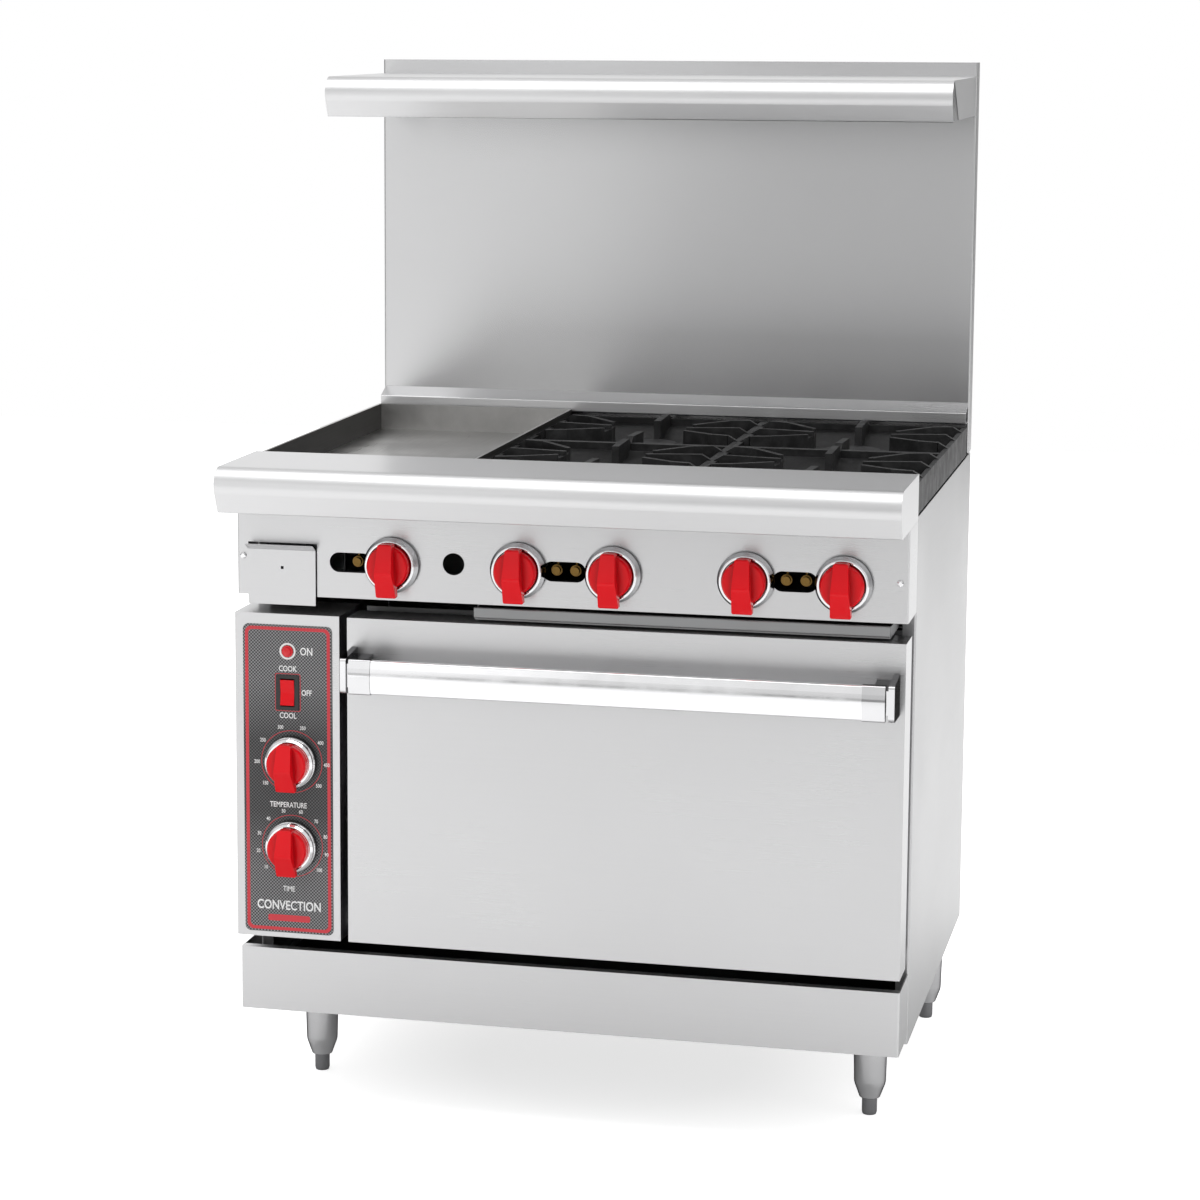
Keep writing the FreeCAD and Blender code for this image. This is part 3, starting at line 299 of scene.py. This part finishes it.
finishes = {
    panel_steel: (
        "control_panel", "kick_plate", "door_shell", "convection_box", "rear_ledge", "grease_drawer",
    ),
    riser_steel: ("riser_panel",),
    rail_steel: ("front_ledge", "high_shelf", "shelf_brackets"),
    side_steel: ("side_panel_left", "side_panel_right"),
    dull_steel_and_shade: (
        "base_frame", "back_panel", "burner_box", "oven_front_frame", "crumb_tray", "hinge_brackets",
        "door_hinge_leaves",
    ),
    enamel: ("oven_sides", "oven_top", "oven_floor", "oven_back", "fan_cover", "door_liner"),
    chrome: ("oven_rack", "rack_guides"),
    rim_chrome: ("knob_bezels", "screws"),
    handle_chrome: ("handle_bar",),
    leg_chrome: ("legs", "handle_brackets"),
    grate_iron: ("grate_front_left", "grate_front_right", "grate_rear_left", "grate_rear_right"),
    burner_iron: ("burner_heads", "burner_venturis"),
    griddle_steel: ("griddle",),
    tube_steel: ("feet", "gas_manifold", "griddle_burner", "oven_burner", "fan_wheel"),
    brass: ("gas_valves", "pilots"),
    red_gloss: (
        "knob_griddle", "knob_rear_left", "knob_front_left", "knob_rear_right", "knob_front_right",
        "fan_rocker",
    ),
    black_skirt: ("temperature_knob", "timer_knob"),
    red_lens: ("indicator_lamp",),
    plate_print: ("control_fascia",),
    black_case: ("rocker_frame", "oven_controls"),
    motor_paint: ("fan_motor",),
    seal: ("door_gasket",),
}


def finish_nodes():
    """Puts its material on every CAD node."""
    for material, names in finishes.items():
        for name in names:
            mesh = nodes[name].data
            mesh.materials.clear()
            mesh.materials.append(material)


def finish_dials():
    """The oven dials are moulded in three colours: red grip, bright ring and black skirt."""
    skirt_height, ring_height, grip_height = 8.5 * MM, 17.5 * MM, 20 * MM
    grip_radius = 28.5 * MM
    for name in ("temperature_knob", "timer_knob"):
        mesh = nodes[name].data
        mesh.materials.append(red_gloss)
        mesh.materials.append(chrome)
        axis = dial_centre(name)
        for face in mesh.polygons:
            height = fascia_low.y - face.center.y
            across = math.hypot(face.center.x - axis.x, face.center.z - axis.y)
            if height > grip_height or (height > ring_height and across < grip_radius):
                face.material_index = 1
            elif height > skirt_height:
                face.material_index = 2


def finish_griddle():
    """The plate is ground bright; its sideways-facing faces, such as the splash guards at its sides, are
    dark.
    """
    mesh = nodes["griddle"].data
    mesh.materials.append(dark_side_faces)
    for face in mesh.polygons:
        if abs(face.normal.x) > 0.7:
            face.material_index = 1


def dial_centre(name):
    """Where a dial's axis meets the control plate, as x and z."""
    low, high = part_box(name)
    skirt = (high.x - low.x) / 2
    return Vector(((low.x + high.x) / 2, high.z - skirt))


# ---------------------------------------------------------------- mesh helpers
def add_piece(name, mesh, material, body):
    """A new visible piece that rides on a body."""
    piece = bpy.data.objects.new(name, mesh)
    bpy.context.scene.collection.objects.link(piece)
    if not mesh.materials:
        mesh.materials.append(material)
    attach(piece, body)
    return piece


def mesh_from(build):
    """Mesh filled by a function that works on a bmesh."""
    shape = bmesh.new()
    build(shape)
    bmesh.ops.recalc_face_normals(shape, faces=shape.faces)
    mesh = bpy.data.meshes.new("piece")
    shape.to_mesh(mesh)
    shape.free()
    return mesh


def rounded_outline(x0, x1, z0, z1, radius, steps=8):
    """Points of a rectangle with round corners, in the plane of a front face."""
    left, right, low, high = x0 + radius, x1 - radius, z0 + radius, z1 - radius
    points = []
    for corner, (cx, cz) in enumerate(((right, high), (left, high), (left, low), (right, low))):
        for step in range(steps + 1):
            angle = (corner + step / steps) * math.pi / 2
            points.append((cx + radius * math.cos(angle), cz + radius * math.sin(angle)))
    return points


def ring_mesh(outer, inner, y, thick):
    """Flat ring between two outlines with the same number of points, raised to the front."""
    def build(shape):
        loops = []
        for outline in (outer, inner):
            for depth in (y, y - thick):
                loops.append([shape.verts.new((px, depth, pz)) for px, pz in outline])
        back_out, front_out, back_in, front_in = loops
        count = len(outer)
        for i in range(count):
            j = (i + 1) % count
            shape.faces.new((front_out[i], front_out[j], front_in[j], front_in[i]))
            shape.faces.new((back_out[i], back_out[j], back_in[j], back_in[i]))
            shape.faces.new((back_out[i], back_out[j], front_out[j], front_out[i]))
            shape.faces.new((back_in[i], back_in[j], front_in[j], front_in[i]))
    return mesh_from(build)


def plate_mesh(outline, y, thick):
    """Flat plate of an outline, raised to the front."""
    def build(shape):
        back = [shape.verts.new((px, y, pz)) for px, pz in outline]
        front = [shape.verts.new((px, y - thick, pz)) for px, pz in outline]
        shape.faces.new(back)
        shape.faces.new(front)
        for i in range(len(outline)):
            j = (i + 1) % len(outline)
            shape.faces.new((back[i], back[j], front[j], front[i]))
    return mesh_from(build)


def circle(cx, cz, radius, count=64):
    """Points of a circle in the plane of a front face."""
    angles = [2 * math.pi * i / count for i in range(count)]
    return [(cx + radius * math.cos(angle), cz + radius * math.sin(angle)) for angle in angles]


def text_mesh(words, size, x, y, z):
    """Solid condensed letters that face the front, centred on a point."""
    taller = 1.3
    curve = bpy.data.curves.new("words", "FONT")
    curve.body = words
    curve.size = size
    curve.align_x = "CENTER"
    curve.align_y = "CENTER"
    curve.extrude = 0.06 * MM
    curve.offset = 0.015 * size
    curve.resolution_u = 3
    holder = bpy.data.objects.new("words", curve)
    bpy.context.scene.collection.objects.link(holder)
    bpy.context.view_layer.update()
    solid = holder.evaluated_get(bpy.context.evaluated_depsgraph_get())
    mesh = bpy.data.meshes.new_from_object(solid)
    bpy.data.objects.remove(holder)
    upright = Matrix.Rotation(math.pi / 2, 4, "X") @ Matrix.Scale(taller, 4, (0, 1, 0))
    mesh.transform(Matrix.Translation((x, y, z)) @ upright)
    return mesh


# ---------------------------------------------------------------- control plate graphics
print_white = moulded("print_white", PRINT_WHITE, 0.4)
print_red = moulded("print_red", PRINT_RED, 0.35)
INK = 0.12 * MM


def control_graphics():
    """Border, words, scales and marks printed on the plate beside the door."""
    front = fascia_low.y
    x0, x1, z0, z1 = fascia_low.x, fascia_high.x, fascia_low.z, fascia_high.z
    middle = (x0 + x1) / 2

    def flat(name, mesh, material):
        add_piece(name, mesh, material, "range")

    border_outlines = [
        rounded_outline(x0 + inset, x1 - inset, z0 + inset, z1 - inset, corner)
        for inset, corner in ((3 * MM, 9 * MM), (7.5 * MM, 6 * MM))
    ]
    flat("plate_border", ring_mesh(*border_outlines, front, INK), print_red)

    lamp_low, lamp_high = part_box("indicator_lamp")
    lamp_x, lamp_z = (lamp_low.x + lamp_high.x) / 2, (lamp_low.z + lamp_high.z) / 2
    ring_outer, ring_inner, ring_thick = 11.5 * MM, 9 * MM, 0.4 * MM
    ring = ring_mesh(
        circle(lamp_x, lamp_z, ring_outer), circle(lamp_x, lamp_z, ring_inner), front, ring_thick
    )
    flat("lamp_ring", ring, print_white)

    rocker_low, rocker_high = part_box("rocker_frame")
    rocker_x = (rocker_low.x + rocker_high.x) / 2
    rocker_z = (rocker_low.z + rocker_high.z) / 2
    rocker_outlines = [
        rounded_outline(
            rocker_low.x - grow, rocker_high.x + grow, rocker_low.z - grow, rocker_high.z + grow, corner
        )
        for grow, corner in ((2.2 * MM, 3 * MM), (1.2 * MM, 2 * MM))
    ]
    flat("rocker_outline", ring_mesh(*rocker_outlines, front, INK), print_red)

    beside, above = 27 * MM, 8.5 * MM
    words = [
        ("ON", 11.5, middle + beside, lamp_z),
        ("COOK", 8.5, rocker_x, rocker_high.z + above),
        ("OFF", 8.5, middle + beside, rocker_z),
        ("COOL", 8.5, rocker_x, rocker_low.z - above),
    ]
    radius, line_wide = 43.5 * MM, 0.9 * MM
    reach, title_drop = radius + 6.2 * MM, 61 * MM
    first_angle, sweep = 130, 260
    for knob, title, marks in (
        ("temperature_knob", "TEMPERATURE", ("150", "200", "250", "300", "350", "400", "450", "500")),
        ("timer_knob", "TIME", [str(minutes) for minutes in range(10, 101, 10)]),
    ):
        dial_x, dial_z = dial_centre(knob)
        mesh = ring_mesh(
            circle(dial_x, dial_z, radius), circle(dial_x, dial_z, radius - line_wide), front, INK
        )
        flat(knob + "_circle", mesh, print_red)
        for i, mark in enumerate(marks):
            angle = math.radians(first_angle - sweep * i / (len(marks) - 1))
            place = (dial_x + reach * math.sin(-angle), dial_z + reach * math.cos(angle))
            words.append((mark, 5.6, *place))
        words.append((title, 8, middle, dial_z - title_drop))
    words.append(("CONVECTION", 14, middle, z0 + 38 * MM))
    for i, (text, size, x, z) in enumerate(words):
        flat(f"print_{i}_{text}", text_mesh(text, size * MM, x, front - INK, z), print_white)

    tag_half, tag_low, tag_high = 30 * MM, z0 + 16 * MM, z0 + 25 * MM
    tag = rounded_outline(middle - tag_half, middle + tag_half, tag_low, tag_high, 2.5 * MM)
    flat("plate_tag", plate_mesh(tag, front, INK), print_red)


def bottom_pan():
    """Thin dark sheet that closes the range's underside, resting on the base frame."""
    low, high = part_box("base_frame")
    lap, thick = 12 * MM, 1 * MM

    def build(shape):
        size = ((high.x - low.x) - 2 * lap, (high.y - low.y) - 2 * lap, thick)
        middle = ((low.x + high.x) / 2, (low.y + high.y) / 2, high.z + thick / 2)
        place = Matrix.Translation(middle) @ Matrix.Diagonal((*size, 1))
        bmesh.ops.create_cube(shape, size=1, matrix=place)

    add_piece("bottom_pan", mesh_from(build), pan_skin, "range")


# ---------------------------------------------------------------- studio
def look_quaternion(yaw, pitch, roll):
    """Camera rotation from its heading, downward tilt and roll, in radians."""
    heading = Quaternion(UP, yaw)
    level = Quaternion((1, 0, 0), math.pi / 2 - pitch)
    return heading @ level @ Quaternion(UP, roll)


def add_camera():
    """The camera in front and to the right of the range, a little above its top."""
    data = bpy.data.cameras.new("camera")
    data.sensor_width = 36
    data.lens = 98.2
    data.shift_x = 0.083
    data.shift_y = -0.08
    camera = bpy.data.objects.new("camera", data)
    camera.location = (0.9463, -4.5151, 1.5023)
    camera.rotation_mode = "QUATERNION"
    camera.rotation_quaternion = look_quaternion(0.2425, 0.1475, 0.0023)
    bpy.context.scene.collection.objects.link(camera)
    bpy.context.scene.camera = camera


def area_light(name, place, target, width, height, power, roll=0.0):
    """Rectangular lamp that the camera doesn't see, aimed at a point; its roll is in degrees."""
    data = bpy.data.lights.new(name, "AREA")
    data.shape = "RECTANGLE"
    data.size = width
    data.size_y = height
    data.energy = power
    light = bpy.data.objects.new(name, data)
    light.location = place
    light.rotation_mode = "QUATERNION"
    aim = (Vector(target) - Vector(place)).to_track_quat("-Z", "Y")
    light.rotation_quaternion = aim @ Quaternion(UP, math.radians(roll))
    light.visible_camera = False
    bpy.context.scene.collection.objects.link(light)


def add_lights():
    """Soft lamps above, in front, behind and at the right."""
    area_light("overhead", (0.0, -0.8, 3.6), (0, -0.1, 0.6), 3.0, 2.4, 40)
    area_light("front_left", (-1.75, -3.0, 1.35), (0.2, 0.4, 1.15), 2.2, 2.2, 6, -20)
    area_light("front", (0.4, -6.6, 1.9), (0, 0, 0.9), 7.0, 2.4, 20)
    area_light("behind", (-1.6, 4.4, 1.5), (0, 0, 1.0), 5.0, 2.4, 28)
    area_light("right", (3.4, -1.0, 1.4), (0, 0, 0.8), 1.6, 2.4, 8)


def add_world():
    """White studio: bright above, greyer at eye level, and white to the camera."""
    world = bpy.data.worlds.new("studio")
    world.use_nodes = True
    tree = world.node_tree
    light = tree.nodes["Background"]
    where = tree.nodes.new("ShaderNodeTexCoord")
    split = tree.nodes.new("ShaderNodeSeparateXYZ")
    ramp = tree.nodes.new("ShaderNodeValToRGB")
    tree.links.new(where.outputs["Generated"], split.inputs["Vector"])
    tree.links.new(split.outputs["Z"], ramp.inputs["Fac"])
    stops = ((0.12, 0.42), (0.5, 1.0))
    for element, (height, grey) in zip(ramp.color_ramp.elements, stops):
        element.position = height
        element.color = (grey, grey, grey, 1)
    tree.links.new(ramp.outputs["Color"], light.inputs["Color"])
    light.inputs["Strength"].default_value = 0.8
    backdrop = tree.nodes.new("ShaderNodeBackground")
    backdrop.inputs["Color"].default_value = (1, 1, 1, 1)
    path = tree.nodes.new("ShaderNodeLightPath")
    mix = tree.nodes.new("ShaderNodeMixShader")
    tree.links.new(path.outputs["Is Camera Ray"], mix.inputs["Fac"])
    tree.links.new(light.outputs["Background"], mix.inputs[1])
    tree.links.new(backdrop.outputs["Background"], mix.inputs[2])
    tree.links.new(mix.outputs["Shader"], tree.nodes["World Output"].inputs["Surface"])
    bpy.context.scene.world = world
    bpy.context.scene.view_settings.view_transform = "Standard"


def add_floor():
    """Plain pale floor that glows like a lamp, with painted shadow near the range: what mirrors it sees
    it dim close to the range and bright further out, and the camera sees it a little dimmer there too.
    """
    surface = Surface("studio_floor", (0.85, 0.85, 0.85), 0.0, 0.7)
    length = surface.node("ShaderNodeVectorMath", {0: surface.place()}, operation="LENGTH")
    distance = length.outputs["Value"]
    # Painted shadow for what mirrors see: darker colour and weaker glow close to the range.
    shadow_falloff = surface.spread(distance, 0.0, 1.0, 0.7, 1.1)
    painted_glow = surface.spread(shadow_falloff, 0.12, 0.38, 0.0, 1.0)
    # Painted shadow the camera sees: the glow fades towards the range.
    seen_glow_and_shadow = surface.spread(distance, 0.68, 0.95, 0.2, 0.8)
    camera_ray = surface.node("ShaderNodeLightPath").outputs["Is Camera Ray"]
    surface.shades(surface.math("MAXIMUM", shadow_falloff, camera_ray), 0.7, 1.0)
    other_ray = surface.math("SUBTRACT", 1.0, camera_ray)
    mirrored = surface.math("MULTIPLY", painted_glow, other_ray)
    direct = surface.math("MULTIPLY", seen_glow_and_shadow, camera_ray)
    # Painted light: the floor glows though it is no lamp.
    surface.set(Emission_Color=(1, 1, 1, 1))
    surface.into("Emission Strength", surface.math("ADD", mirrored, direct))
    half_width = 7
    mesh = mesh_from(
        lambda shape: bmesh.ops.create_grid(shape, x_segments=1, y_segments=1, size=half_width)
    )
    floor = bpy.data.objects.new("floor", mesh)
    mesh.materials.append(surface.material)
    bpy.context.scene.collection.objects.link(floor)


add_camera()
add_world()
add_lights()
add_floor()
finish_nodes()
finish_dials()
finish_griddle()
control_graphics()
bottom_pan()
